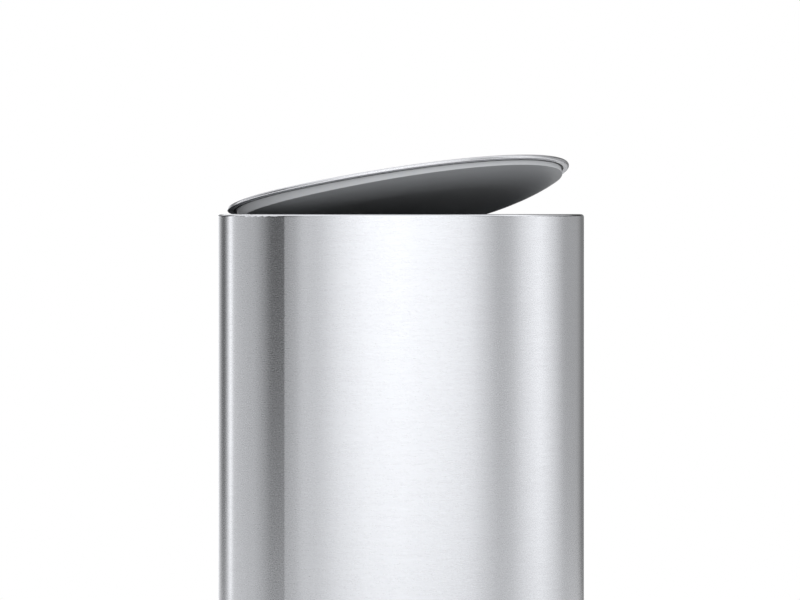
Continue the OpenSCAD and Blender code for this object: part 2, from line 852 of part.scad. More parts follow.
// The follower's spring lies along the lever with one leg and stands on the bay's floor with the other
module follower_spring() {
    coil = lever_half - 0.1 + nub_radius + 0.1 + follower_wire;
    start = follower_aim + 90;
    end = 180 + 360 * ceil((start - 180) / 360);
    color(wire_steel) translate([lever_x - lever_width - boss_width + 0.3 + follower_wire, pivot_y, pivot_z])
        wire(
            coil_steps(coil, follower_pitch, start, end, nub_reach + nub_radius, pivot_z - bay_z - 0.1),
            follower_wire
        );
}

echo(follower_spring_gap = follower_pitch - 2 * follower_wire);

// Bucket

module bucket_profile() {
    foot = bucket_out + bucket_lean;
    round_z = bucket_z + bucket_round;
    in_box(bucket_gap, bucket_out + bucket_wall, ledge_z, bucket_top);
    // Leaning wall down to the round bottom edge
    polygon([
        [-bucket_out, bucket_top],
        [-bucket_out - bucket_wall, bucket_top],
        [-foot - bucket_wall, round_z],
        [-foot, round_z]
    ]);
    difference() {
        translate([-foot - bucket_round, round_z]) circle(r = bucket_round);
        translate([-foot - bucket_round, round_z]) circle(r = bucket_round - bucket_wall);
        in_box(foot - over, foot + 2 * bucket_round + over, round_z, round_z + 2 * bucket_round);
        in_box(foot + bucket_round, foot + 3 * bucket_round, bucket_z - over, round_z + over);
    }
}

module inner_bucket() {
    floor_inset = bucket_out + bucket_lean + bucket_round;
    color(bucket_grey) {
        d_sweep(mouth_plan) bucket_profile();
        d_plate(mouth_plan, floor_inset - 0.5, bucket_z, bucket_wall);
    }
}

// Lid

module skin_profile() {
    bead = lid_inset + edge_radius;
    in_box(bead, hem_in, hem_z, hem_z + lid_sheet);
    in_box(bead, core_inset, lid_top_z - lid_sheet, lid_top_z);
    difference() {
        translate([-bead, hem_z + edge_radius]) circle(r = edge_radius);
        translate([-bead, hem_z + edge_radius]) circle(r = edge_radius - lid_sheet);
        in_box(bead, bead + 2 * edge_radius, hem_z - over, lid_top_z + over);
    }
}

module hinge_notch(y) {
    box3([-notch_half, y, hem_z - 20], [notch_half, back_y + over, rim_z + 10]);
}

module lid_skin() {
    color(steel) on_lid() difference() {
        union() {
            d_sweep(body_plan) skin_profile();
            d_plate(body_plan, core_inset - 0.5, lid_top_z - lid_sheet, lid_sheet);
        }
        hinge_notch(notch_y);
    }
}

module lid_seal() {
    color(rubber) on_lid() difference() {
        d_band(body_plan, hem_in + seal_gap, hem_in + seal_gap + seal_width, hem_z - seal_proud,
               flange_low - touch - hem_z + seal_proud);
        hinge_notch(rail_y - rail_depth - touch);
    }
}

// Inside or outside form of the liner below its flange: an upright wall on a plan and a tilted dome
liner_plan = plan(front_radius - liner_out, rail_y - rail_depth + 2 * touch, 0.96, 0.28);
cavity_plan = plan(liner_plan[0] - liner_wall, liner_plan[2] - 1.1 * liner_wall, 0.96, 0.28);

module liner_form(form, wall) {
    top = flange_top + (wall > 0 ? over : 0);
    low = dome_z - 1;
    roof = top + 8;
    intersection() {
        d_plate(form, 0, low, top - low);
        translate([0, back_y - liner_out, hem_z]) rotate([-dome_tilt, 0, 0])
            translate([0, liner_out - back_y, -hem_z]) {
                d_sweep(body_plan) intersection() {
                    union() {
                        translate([-dome_reach, dome_z + dome_radius])
                            circle(r = dome_radius - wall, $fn = 240);
                        in_box(dome_reach, core_inset, dome_z + wall, dome_z + dome_radius);
                    }
                    in_box(flange_out - 3, core_inset, low, roof);
                }
                d_plate(body_plan, core_inset - 0.5, dome_z + wall, roof - dome_z - wall);
            }
    }
}

module lid_liner() {
    color(liner_grey) on_lid() difference() {
        union() {
            difference() {
                union() {
                    difference() {
                        d_plate(body_plan, flange_out, flange_low, flange_top - flange_low);
                        hinge_notch(rail_y);
                    }
                    liner_form(liner_plan, 0);
                    // Rail along the hinge
                    box3([-notch_half + 1, rail_y - rail_depth, hinge_z - rail_height],
                         [notch_half - 1, rail_y, flange_top]);
                }
                liner_form(cavity_plan, liner_wall);
            }
            // Turning knuckles and their webs
            for (x = [-lid_knuckle_out, lid_knuckle_out - lid_knuckle_length]) {
                rod(x, lid_knuckle_length, knuckle_radius, hinge_y, hinge_z);
                box3([x, rail_y - rail_depth, hinge_z - rail_height],
                     [x + lid_knuckle_length, hinge_y, flange_top]);
            }
            // Pad that carries the quadrant and the catch cam
            box3([cam_x - foot_half - pad_rim, foot_front - pad_rim, pad_z],
                 [quadrant_x + foot_half + pad_rim, foot_front + foot_length + pad_rim, pad_z + 3 * foot_sheet]);
        }
        for (x = [cam_x, quadrant_x]) {
            box3([x - foot_half - foot_gap, foot_front - foot_gap, pad_z - 2 * foot_sheet],
                 [x + foot_half + foot_gap, foot_front + foot_length + foot_gap, pad_z + foot_sheet]);
            for (side = [-1, 1])
                translate([x + side * foot_screw_x, foot_y, pad_z])
                    cylinder(r = screw_radius + touch, h = lid_screw_length + foot_gap);
        }
        rod(-hinge_half - over, 2 * (hinge_half + over), pin_radius + bore_clearance, hinge_y, hinge_z);
    }
}

// Foot that a leg stands on under the lid, with its screw holes
module leg_foot(x) {
    head = screw_head - screw_radius;
    difference() {
        box3([x - foot_half, foot_front, pad_z], [x + foot_half, foot_front + foot_length, pad_z + foot_sheet]);
        for (side = [-1, 1]) translate([x + side * foot_screw_x, foot_y, pad_z]) {
            translate([0, 0, -touch]) cylinder(r1 = screw_head + 0.1, r2 = screw_radius + 0.1, h = head);
            cylinder(r = screw_radius + 0.1, h = foot_sheet + over);
        }
    }
}

// Wedge of the side plane between two directions from the hinge axis
module wedge(a, b) {
    polygon([below(0, 0), below(a, 90), below((a + b) / 2, 120), below(b, 90)]);
}

module arc_leg(inner, outer, a, b) {
    intersection() {
        difference() {
            translate(below(0, 0)) circle(r = outer, $fn = 240);
            translate(below(0, 0)) circle(r = inner, $fn = 240);
        }
        wedge(a, b);
        box2([0, 0], [back_y, pad_z + foot_sheet / 2]);
    }
}

module lid_quadrant() {
    // Tooth middles, counted from the tooth that meshes as drawn
    first = -ceil((open_angle - rest_angle + mesh_margin - 1) / tooth_pitch);
    last = ceil((press_angle + rest_angle + mesh_margin) / tooth_pitch);
    tail = tail_limit - press_angle;
    color(acetal) on_lid() {
        side_plate(quadrant_x - quadrant_width / 2, quadrant_width) {
            arc_leg(quadrant_in, wheel_radius - tooth_root + touch, -tail, leg_reach);
            for (k = [first : last]) {
                middle = mesh_angle - rest_angle + k * tooth_pitch;
                translate(below(0, 0)) intersection() {
                    polygon(concat(
                        [(wheel_radius - tooth_root - 0.5) * [cos(-90 - middle + 1), sin(-90 - middle + 1)]],
                        [(wheel_radius - tooth_root - 0.5) * [cos(-90 - middle - 1), sin(-90 - middle - 1)]],
                        tooth(wheel_teeth, -90 - middle)
                    ));
                }
            }
        }
        leg_foot(quadrant_x);
    }
}

// Heart that the peg runs round, with the notch that holds it
module heart() {
    difference() {
        polygon([
            track(0, -5.2), track(1.2, -4.0), track(1.9, -2.2), track(1.9, -0.1), track(1.5, 0.3),
            track(-1.5, 0.3), track(-1.9, -0.1), track(-1.9, -2.2), track(-1.2, -4.0)
        ]);
        translate(track(0, 0)) circle(r = peg_radius + 0.08);
    }
}

module catch_cam() {
    tail = cam_angle - leg_tail / cam_radius * 180 / PI;
    head = cam_angle + (press_rise + peg_radius + 0.1) / cam_radius * 180 / PI;
    x = cam_x - cam_width / 2;
    color(acetal) on_lid() {
        difference() {
            side_plate(x, cam_width)
                arc_leg(cam_radius - leg_half, cam_radius + leg_half, tail, leg_reach);
            side_plate(x - over, over + track_depth) difference() {
                intersection() {
                    difference() {
                        translate(below(0, 0)) circle(r = cam_radius + track_half, $fn = 240);
                        translate(below(0, 0)) circle(r = cam_radius - track_half, $fn = 240);
                    }
                    wedge(tail - 4, head);
                }
                heart();
            }
        }
        leg_foot(cam_x);
    }
}

module lid_screws() {
    color(wire_steel) on_lid() for (x = [cam_x, quadrant_x], side = [-1, 1])
        translate([x + side * foot_screw_x, foot_y, pad_z]) mirror([0, 0, 1]) flat_screw(lid_screw_length);
}

body_shell();
base_tray();
feet();
rim_collar();
collar_lugs();
hinge_bracket();
bracket_screws();
hinge_pin();
lid_spring_left();
lid_spring_right();
seat_buffers();
mechanism_cover();
cover_screws();
damper_body();
damper_screws();
damper_pinion();
catch_follower();
catch_pivot_pin();
follower_spring();
inner_bucket();
lid_skin();
lid_seal();
lid_liner();
lid_quadrant();
catch_cam();
lid_screws();
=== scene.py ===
# Push top countertop bin: looks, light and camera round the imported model.
# The front is -Y, the flat back is +Y, the bin stands on z = 0. Sizes are in mm, and meshes in metres.
import json
import math

import bmesh
import bpy
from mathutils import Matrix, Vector


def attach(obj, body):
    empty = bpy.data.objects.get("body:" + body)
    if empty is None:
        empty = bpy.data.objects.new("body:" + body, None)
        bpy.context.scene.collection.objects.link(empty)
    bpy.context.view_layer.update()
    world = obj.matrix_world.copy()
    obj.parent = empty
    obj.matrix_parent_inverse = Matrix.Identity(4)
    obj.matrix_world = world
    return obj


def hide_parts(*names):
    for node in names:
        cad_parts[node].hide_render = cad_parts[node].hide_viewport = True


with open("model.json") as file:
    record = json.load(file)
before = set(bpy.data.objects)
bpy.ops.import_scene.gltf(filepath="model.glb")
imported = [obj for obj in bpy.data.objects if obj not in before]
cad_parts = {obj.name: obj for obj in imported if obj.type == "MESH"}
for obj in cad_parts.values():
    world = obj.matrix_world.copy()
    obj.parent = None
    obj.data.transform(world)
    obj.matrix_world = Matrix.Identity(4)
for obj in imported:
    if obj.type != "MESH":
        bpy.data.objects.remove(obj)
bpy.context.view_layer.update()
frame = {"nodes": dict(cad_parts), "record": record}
MM = 0.001

# Driving sizes, as in the part: front arc, half the depth, rim, the lid's seat, hinge line, angle at rest
FRONT_RADIUS = 102.5
HALF_DEPTH = 66.5
FRONT_CENTRE_Y = FRONT_RADIUS - HALF_DEPTH
RIM_Z = 240.0
SEAT_Z = 231.5
HINGE_Y, HINGE_Z = 62.5, 240.0
REST_ANGLE = math.radians(12.2)
LID_UP = (0, math.sin(REST_ANGLE), math.cos(REST_ANGLE))


# Small helpers


def linear(hex_colour):
    """sRGB hex to linear red, green, blue and alpha."""
    digits = hex_colour.lstrip("#")
    channels = [int(digits[start:start + 2], 16) / 255 for start in (0, 2, 4)]
    return (*(c / 12.92 if c <= 0.04045 else ((c + 0.055) / 1.055) ** 2.4 for c in channels), 1.0)


def wire(tree, node, settings=None, **links):
    """Sets a node up. Settings go to its attributes, or to its inputs by name or number. Links join its
    inputs to outputs: n0 is its first input, a list joins several outputs to one input, and a whole node
    stands for its first output in use."""
    for key, value in (settings or {}).items():
        if hasattr(node, key) and not key[0].isupper():
            setattr(node, key, value)
        else:
            node.inputs[int(key) if key.isdigit() else key].default_value = value
    for key, sources in links.items():
        number = key[1:]
        socket = node.inputs[int(number) if number.isdigit() else key.replace("_", " ")]
        for source in sources if isinstance(sources, list) else [sources]:
            if hasattr(source, "outputs"):
                source = next(output for output in source.outputs if output.enabled)
            tree.links.new(source, socket)
    return node


def add(tree, kind, settings=None, **links):
    """Adds a node with its settings and links."""
    return wire(tree, tree.nodes.new(kind), settings, **links)


def new_material(name):
    """A new material, its tree and the shader in it."""
    material = bpy.data.materials.new(name)
    material.use_nodes = True
    tree = material.node_tree
    return material, tree, next(node for node in tree.nodes if node.type == "BSDF_PRINCIPLED")


def even(size_mm):
    """Units of a pattern in a millimetre, where its features have this size in every direction."""
    return (1 / size_mm,) * 3


def place(tree, per_mm=(1, 1, 1)):
    """Object coordinates for a pattern, with this many of its units in a millimetre of X, Y and Z."""
    coords = add(tree, "ShaderNodeTexCoord").outputs["Object"]
    return add(tree, "ShaderNodeMapping", {"Scale": [units / MM for units in per_mm]}, Vector=coords)


# Materials

# Brushed sheet: scratches are 0.35 mm high and about 4 mm long, and longer pale bands lie under them.
# Real scratches are too fine to show here, so these are drawn coarser. Units of the pattern per mm.
SCRATCH_LONG, SCRATCH_FINE = 0.25, 2.8
BAND_LONG, BAND_FINE = 0.04, 0.8
SCRATCH_SHARE = 0.7
SCRATCH_ROUGHNESS = 0.015
LIP_START, LIP_FULL = RIM_Z - 1.5, RIM_Z - 1.1
LIP_POLISH = 0.16


def burnished_lip(tree, roughness):
    """Roughness that drops on the rolled lip, where the rollers have burnished it."""
    height = add(tree, "ShaderNodeSeparateXYZ", None, Vector=place(tree)).outputs["Z"]
    lip = add(tree, "ShaderNodeMapRange", {"From Min": LIP_START, "From Max": LIP_FULL}, Value=height)
    return add(tree, "ShaderNodeMath", {"operation": "MULTIPLY_ADD", "1": -LIP_POLISH}, n0=lip, n2=roughness)


def brushed_stainless(name, low, high, rough, along):
    """Stainless steel sheet, belt brushed: short fine scratches in one direction. The eye sees broad soft
    reflections, drawn out across the scratches, with faint streaks a few millimetres long."""
    def scales(long, fine):
        return (long, long, fine) if along == "round" else (long, fine, fine)

    material, tree, shader = new_material(name)
    scratch = add(tree, "ShaderNodeTexNoise", {"Scale": 1.0, "Detail": 3.0, "Roughness": 0.65},
                  Vector=place(tree, scales(SCRATCH_LONG, SCRATCH_FINE)))
    band = add(tree, "ShaderNodeTexNoise", {"Scale": 1.0, "Detail": 2.0},
               Vector=place(tree, scales(BAND_LONG, BAND_FINE)))
    under = add(tree, "ShaderNodeMath", {"operation": "MULTIPLY", "1": 1 - SCRATCH_SHARE}, n0=band)
    grain = add(tree, "ShaderNodeMath", {"operation": "MULTIPLY_ADD", "1": SCRATCH_SHARE},
                n0=scratch, n2=under)
    sharp = add(tree, "ShaderNodeMapRange", {"From Min": 0.3, "From Max": 0.7}, Value=grain)
    colour = add(tree, "ShaderNodeMix", {"data_type": "RGBA", "6": linear(low), "7": linear(high)}, n0=sharp)
    worn = add(tree, "ShaderNodeMapRange",
               {"To Min": rough + SCRATCH_ROUGHNESS, "To Max": rough - SCRATCH_ROUGHNESS}, Value=sharp)
    if along == "round":
        worn = burnished_lip(tree, worn)
        tangent = add(tree, "ShaderNodeTangent", {"direction_type": "RADIAL", "axis": "Z"})
    else:
        # The lid turns about X, so its brushing keeps that direction at every angle
        tangent = add(tree, "ShaderNodeCombineXYZ", {"X": 1.0})
    bump = add(tree, "ShaderNodeBump", {"Strength": 0.01, "Distance": 0.1 * MM}, Height=scratch)
    wire(tree, shader, {"Metallic": 1.0, "Anisotropic": 0.98, "Anisotropic Rotation": 0.25},
         Base_Color=colour, Roughness=worn, Tangent=tangent, Normal=bump)
    return material


# Moulded plastic: the size of the patches over which its colour drifts, and what its grain does to the gloss
TINT_MM = 40
GRAIN_ROUGHNESS = 0.06
ABS_IOR = 1.5


def plastic_tint(tree, low, high):
    """Colour that drifts slowly between two close ones, as in any moulding."""
    cloud = add(tree, "ShaderNodeTexNoise", {"Scale": 1.0, "Detail": 2.0}, Vector=place(tree, even(TINT_MM)))
    return add(tree, "ShaderNodeMix", {"data_type": "RGBA", "6": linear(low), "7": linear(high)}, n0=cloud)


def mould_grain(tree, shader, rough, grain_mm, depth_mm, ior):
    """Gives a shader the spark-eroded grain of a mould, which breaks the highlight up softly."""
    grain = add(tree, "ShaderNodeTexNoise", {"Scale": 1.0, "Detail": 4.0}, Vector=place(tree, even(grain_mm)))
    worn = add(tree, "ShaderNodeMapRange",
               {"To Min": rough - GRAIN_ROUGHNESS, "To Max": rough + GRAIN_ROUGHNESS}, Value=grain)
    bump = add(tree, "ShaderNodeBump", {"Strength": 0.3, "Distance": depth_mm * MM}, Height=grain)
    wire(tree, shader, {"IOR": ior}, Roughness=worn, Normal=bump)


def moulded_plastic(name, low, high, rough, grain_mm, depth_mm, ior=ABS_IOR):
    """Injection moulded plastic with an etched grain. The eye sees an even colour with a soft highlight."""
    material, tree, shader = new_material(name)
    mould_grain(tree, shader, rough, grain_mm, depth_mm, ior)
    wire(tree, shader, Base_Color=plastic_tint(tree, low, high))
    return material


def liner_painted_light_and_shade(name, dome, lit_wall, rough, grain_mm, depth_mm):
    """Injection moulded ABS of one grey, with painted light and shade. Its upright side wall gets a pale
    colour that is painted light, and its dome, which looks down, a darker colour that is painted shade. The
    two are told apart by how far a face looks down from the lid."""
    material, tree, shader = new_material(name)
    mould_grain(tree, shader, rough, grain_mm, depth_mm, ABS_IOR)
    # Painted light and shade: this mask gives upright faces the pale lit colour and faces that look down the
    # darker shaded colour
    normal = add(tree, "ShaderNodeTexCoord").outputs["Normal"]
    facing = add(tree, "ShaderNodeVectorMath", {"operation": "DOT_PRODUCT", "1": LID_UP}, n0=normal)
    lit_wall_mask = add(tree, "ShaderNodeMapRange", {"From Min": -0.7, "From Max": -0.4}, Value=facing)
    colour = add(tree, "ShaderNodeMix", {"data_type": "RGBA", "7": linear(lit_wall)},
                 n0=lit_wall_mask, n6=plastic_tint(tree, *dome))
    wire(tree, shader, Base_Color=colour)
    return material


def plated_steel(name, low, high, rough, patch_mm):
    """Drawn or pressed steel with a thin bright plating. The eye sees a cool grey metal with cloudy
    patches and a few dull spots."""
    material, tree, shader = new_material(name)
    cloud = add(tree, "ShaderNodeTexNoise", {"Scale": 1.0, "Detail": 5.0}, Vector=place(tree, even(patch_mm)))
    patch = add(tree, "ShaderNodeMapRange", {"From Min": 0.35, "From Max": 0.65}, Value=cloud)
    colour = add(tree, "ShaderNodeMix", {"data_type": "RGBA", "6": linear(low), "7": linear(high)}, n0=patch)
    worn = add(tree, "ShaderNodeMapRange", {"To Min": rough + 0.1, "To Max": rough - 0.05}, Value=patch)
    wire(tree, shader, {"Metallic": 1.0}, Base_Color=colour, Roughness=worn)
    return material


def soft_rubber(name, low, high, bloom_mm):
    """Moulded black elastomer. The eye sees a nearly black, dull surface with a faint dusty bloom."""
    material, tree, shader = new_material(name)
    bloom = add(tree, "ShaderNodeTexNoise", {"Scale": 1.0, "Detail": 6.0}, Vector=place(tree, even(bloom_mm)))
    colour = add(tree, "ShaderNodeMix", {"data_type": "RGBA", "6": linear(low), "7": linear(high)}, n0=bloom)
    worn = add(tree, "ShaderNodeMapRange", {"To Min": 0.55, "To Max": 0.75}, Value=bloom)
    wire(tree, shader, {"IOR": 1.52}, Base_Color=colour, Roughness=worn)
    return material


# Name, colours and roughness, then the size of patches or grain in mm, and for plastics the grain's depth
# Lid liner: one grey plastic, whose dome greys here are painted shade and whose pale wall grey below is
# painted light
LINER_SHADED_DOME = ("#8c8e91", "#929497")
finishes = {
    "brushed_body": brushed_stainless("brushed_stainless_body", "#cdced2", "#d3d5d9", 0.27, "round"),
    "lid_steel": brushed_stainless("satin_stainless_lid", "#c8c9cd", "#d1d2d6", 0.26, "x"),
    "bracket_steel": plated_steel("pressed_steel", "#8d8f91", "#a3a5a7", 0.4, 6),
    "zinc_steel": plated_steel("zinc_plated_steel", "#9a9da1", "#b5b8bc", 0.3, 2),
    "spring_steel": plated_steel("drawn_spring_wire", "#77797c", "#8d9093", 0.28, 1.5),
    # The liner's pale wall colour is painted light, and its dome colours are painted shade
    "liner_plastic": liner_painted_light_and_shade("satin_abs_liner_painted_light_shade", LINER_SHADED_DOME, "#b9bbbe", 0.42, 0.25, 0.01),
    "collar_plastic": moulded_plastic("matte_abs_collar", "#75787b", "#7b7e81", 0.5, 0.3, 0.03),
    "base_plastic": moulded_plastic("matte_abs_base", "#2f3133", "#353739", 0.55, 0.35, 0.04),
    "bucket_plastic": moulded_plastic("satin_polypropylene_bucket", "#85888b", "#8c8f92", 0.38, 0.4, 0.02),
    "damper_plastic": moulded_plastic("black_nylon_damper", "#17181a", "#1c1d1f", 0.42, 0.3, 0.02, 1.53),
    "acetal": moulded_plastic("natural_acetal", "#d9d7cf", "#e0ded7", 0.3, 0.5, 0.01, 1.48),
    "rubber": soft_rubber("black_rubber", "#1a1b1d", "#232426", 3),
}

slot_of = {part["node"]: part["material_slot"] for part in frame["record"]["subparts"]}
for name, node in frame["nodes"].items():
    for entry in node.material_slots:
        entry.material = finishes[slot_of[name]]


# Pieces finer than the model's own solids


def lid_point(x, y, z):
    """Where a point of the closed lid stands at rest, in millimetres."""
    out, up = y - HINGE_Y, z - HINGE_Z
    cos, sin = math.cos(REST_ANGLE), math.sin(REST_ANGLE)
    return Vector((x, HINGE_Y + out * cos + up * sin, HINGE_Z - out * sin + up * cos))


def piece_of(name, mesh, finish, body, nodes):
    """Puts a mesh in the scene in place of CAD nodes, on their body and with their finish, which screws
    already have from their tree."""
    piece = bpy.data.objects.new(name, mesh)
    bpy.context.scene.collection.objects.link(piece)
    if not mesh.materials:
        mesh.materials.append(finishes[finish])
    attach(piece, body)
    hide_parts(*nodes)


def skin(shape, rings):
    """Smooth faces between neighbouring rings of vertices."""
    for low, high in zip(rings, rings[1:]):
        for here in range(len(low)):
            after = (here + 1) % len(low)
            shape.faces.new((low[here], low[after], high[after], high[here])).smooth = True


def closed_mesh(shape, name):
    """A closed shape as a mesh, with its faces pointing outwards."""
    bmesh.ops.recalc_face_normals(shape, faces=shape.faces)
    mesh = bpy.data.meshes.new(name)
    shape.to_mesh(mesh)
    shape.free()
    return mesh


# Lid springs: round wire in nearly nine turns round the hinge pin, with one leg on the lid and one on the
# seat. Turns are in degrees, from the back of the pin upwards. The lid's leg is shorter than the part's and
# leans down more, so that it clears the lid's rail at every angle.
WIRE_RADIUS, WIRE_SIDES = 0.3, 12
COIL_RADIUS, COIL_PITCH = 1.9, 1.25
COIL_START, COIL_END, COIL_STEP = -70, 8.5 * 360, 10
COIL_INNER_X = -7.2
COIL_OUTER_X = COIL_INNER_X - COIL_PITCH * (COIL_END - COIL_START) / 360
LID_LEG = 5.5
SEAT_GAP = 0.3
SEAT_LEG = HINGE_Z - SEAT_Z - SEAT_GAP


def wound_spring(side):
    """Mesh of one spring: side is 1 for the left one, and -1 mirrors it to the right."""
    def on_coil(turn):
        angle = math.radians(turn)
        x = COIL_OUTER_X + COIL_PITCH * (turn - COIL_START) / 360
        return Vector((x, HINGE_Y + COIL_RADIUS * math.cos(angle), HINGE_Z + COIL_RADIUS * math.sin(angle)))

    def outward(turn):
        angle = math.radians(turn)
        return Vector((0, math.cos(angle), math.sin(angle)))

    def forward(turn):
        angle = math.radians(turn)
        return Vector((0, -math.sin(angle), math.cos(angle)))

    steps = round((COIL_END - COIL_START) / COIL_STEP)
    turns = [COIL_START + (COIL_END - COIL_START) * step / steps for step in range(steps + 1)]
    route = [(on_coil(turns[0]) - LID_LEG * forward(turns[0]), turns[0])]
    route += [(on_coil(turn), turn) for turn in turns]
    route += [(on_coil(turns[-1]) + SEAT_LEG * forward(turns[-1]), turns[-1])]
    shape = bmesh.new()
    rings = []
    for middle, turn in route:
        across = forward(turn).cross(outward(turn))
        ring = []
        for corner in range(WIRE_SIDES):
            angle = 2 * math.pi * corner / WIRE_SIDES
            point = middle + WIRE_RADIUS * (math.cos(angle) * outward(turn) + math.sin(angle) * across)
            ring.append(shape.verts.new((side * point.x * MM, point.y * MM, point.z * MM)))
        rings.append(ring)
    skin(shape, rings)
    shape.faces.new(rings[0][::-1])
    shape.faces.new(rings[-1])
    return closed_mesh(shape, "lid_spring_wire")


piece_of("wound_lid_spring_left", wound_spring(1), "spring_steel", "bin", ["lid_spring_left"])
piece_of("wound_lid_spring_right", wound_spring(-1), "spring_steel", "bin", ["lid_spring_right"])

# Seat buffers: rubber studs on a ring round the front arc's centre. The outline, as radius and height over
# the seat, has a foot and a waist, and then a domed top.
BUFFER_RING = 96.25
BUFFER_TURNS = (-90, -55, -125)
BUFFER_SIDES = 40
BUFFER_FOOT = [(1.3, 0.0), (1.3, 0.45), (1.22, 0.6), (1.08, 0.75), (1.05, 1.4), (1.1, 1.7)]
DOME_RADIUS, DOME_FOOT, DOME_HEIGHT = 1.12, 1.95, 0.85
DOME_STEP = 15


def domed_stud(shape, centre):
    """Adds one buffer to a shape, with its foot's middle at centre."""
    bends = [math.radians(turn) for turn in range(0, 90, DOME_STEP)]
    dome = [(DOME_RADIUS * math.cos(bend), DOME_FOOT + DOME_HEIGHT * math.sin(bend)) for bend in bends]
    rings = []
    for radius, height in BUFFER_FOOT + dome:
        ring = []
        for side in range(BUFFER_SIDES):
            angle = 2 * math.pi * side / BUFFER_SIDES
            point = centre + Vector((radius * math.cos(angle), radius * math.sin(angle), height))
            ring.append(shape.verts.new(point * MM))
        rings.append(ring)
    skin(shape, rings)
    tip = shape.verts.new((centre + Vector((0, 0, DOME_FOOT + DOME_HEIGHT))) * MM)
    for side in range(BUFFER_SIDES):
        shape.faces.new((rings[-1][side], rings[-1][(side + 1) % BUFFER_SIDES], tip)).smooth = True
    shape.faces.new(rings[0][::-1])


def seat_buffers():
    """Mesh of the buffers on which the closed lid rests."""
    shape = bmesh.new()
    for turn in BUFFER_TURNS:
        angle = math.radians(turn)
        centre = (BUFFER_RING * math.cos(angle), FRONT_CENTRE_Y + BUFFER_RING * math.sin(angle), SEAT_Z)
        domed_stud(shape, Vector(centre))
    return closed_mesh(shape, "seat_buffer_studs")


piece_of("domed_seat_buffers", seat_buffers(), "rubber", "bin", ["seat_buffers"])

# Countersunk screws with a cross recess, set by Geometry Nodes on points that carry their places. Two crossed
# flat points cut the recess: they reach over a share of the head's radius, taper to a share of that, are
# flattened to a share of their width, and are sunk by nearly their whole depth.
SCREW_SIDES = 40
SCREW_SIZES = {"Head Radius": 2.1, "Shank Radius": 1.1, "Length": 6, "Recess Depth": 0.7}
RECESS_REACH = 0.62
RECESS_TAPER = 0.45
RECESS_WIDTH = 0.24
RECESS_SINK = 0.98


def screw_tree():
    """Tree that puts one screw on each point: head upwards, turned by the input named Turn."""
    tree = bpy.data.node_groups.new("cross_recess_screws", "GeometryNodeTree")
    face = tree.interface
    face.new_socket("Geometry", in_out="INPUT", socket_type="NodeSocketGeometry")
    for label, size in SCREW_SIZES.items():
        face.new_socket(label, in_out="INPUT", socket_type="NodeSocketFloat").default_value = size * MM
    face.new_socket("Turn", in_out="INPUT", socket_type="NodeSocketVector")
    face.new_socket("Finish", in_out="INPUT", socket_type="NodeSocketMaterial")
    face.new_socket("Geometry", in_out="OUTPUT", socket_type="NodeSocketGeometry")
    given = add(tree, "NodeGroupInput").outputs

    # Head: a cone stands on its own foot, so it is let down until its wide end is at height 0
    depth = add(tree, "ShaderNodeMath", {"operation": "SUBTRACT"},
                n0=given["Head Radius"], n1=given["Shank Radius"])
    cone = add(tree, "GeometryNodeMeshCone", {"Vertices": SCREW_SIDES},
               Radius_Top=given["Head Radius"], Radius_Bottom=given["Shank Radius"], Depth=depth)
    drop = add(tree, "ShaderNodeMath", {"operation": "MULTIPLY", "1": -1}, n0=depth)
    head = add(tree, "GeometryNodeTransform", None, Geometry=cone,
               Translation=add(tree, "ShaderNodeCombineXYZ", None, Z=drop))

    # Shank: a cylinder is centred on its middle, and reaches from halfway up the head to the full length
    half_depth = add(tree, "ShaderNodeMath", {"operation": "MULTIPLY", "1": 0.5}, n0=depth)
    reach = add(tree, "ShaderNodeMath", {"operation": "SUBTRACT"}, n0=given["Length"], n1=half_depth)
    rod = add(tree, "GeometryNodeMeshCylinder", {"Vertices": SCREW_SIDES},
              Radius=given["Shank Radius"], Depth=reach)
    half_reach = add(tree, "ShaderNodeMath", {"operation": "MULTIPLY", "1": 0.5}, n0=reach)
    middle = add(tree, "ShaderNodeMath", {"operation": "SUBTRACT"}, n0=half_reach, n1=given["Length"])
    shank = add(tree, "GeometryNodeTransform", None, Geometry=rod,
                Translation=add(tree, "ShaderNodeCombineXYZ", None, Z=middle))

    # Recess: a square point, wider at the face than at its foot, flattened one way and then the other
    wide = add(tree, "ShaderNodeMath", {"operation": "MULTIPLY", "1": RECESS_REACH}, n0=given["Head Radius"])
    foot = add(tree, "ShaderNodeMath", {"operation": "MULTIPLY", "1": RECESS_TAPER}, n0=wide)
    sink = add(tree, "ShaderNodeMath", {"operation": "MULTIPLY", "1": -RECESS_SINK}, n0=given["Recess Depth"])
    point = add(tree, "GeometryNodeMeshCone", {"Vertices": 4},
                Radius_Top=wide, Radius_Bottom=foot, Depth=given["Recess Depth"])
    blades = [add(tree, "GeometryNodeTransform", {"Scale": flat}, Geometry=point,
                  Translation=add(tree, "ShaderNodeCombineXYZ", None, Z=sink))
              for flat in ((1, RECESS_WIDTH, 1), (RECESS_WIDTH, 1, 1))]

    blank = add(tree, "GeometryNodeMeshBoolean", {"operation": "UNION", "solver": "EXACT"}, n1=[head, shank])
    screw = add(tree, "GeometryNodeMeshBoolean", {"operation": "DIFFERENCE", "solver": "EXACT"},
                n0=blank, n1=blades)
    placed = add(tree, "GeometryNodeInstanceOnPoints", None,
                 Points=given["Geometry"], Instance=screw, Rotation=given["Turn"])
    real = add(tree, "GeometryNodeRealizeInstances", None, Geometry=placed)
    done = add(tree, "GeometryNodeSetMaterial", None, Geometry=real, Material=given["Finish"])
    add(tree, "NodeGroupOutput", None, n0=done)
    return tree


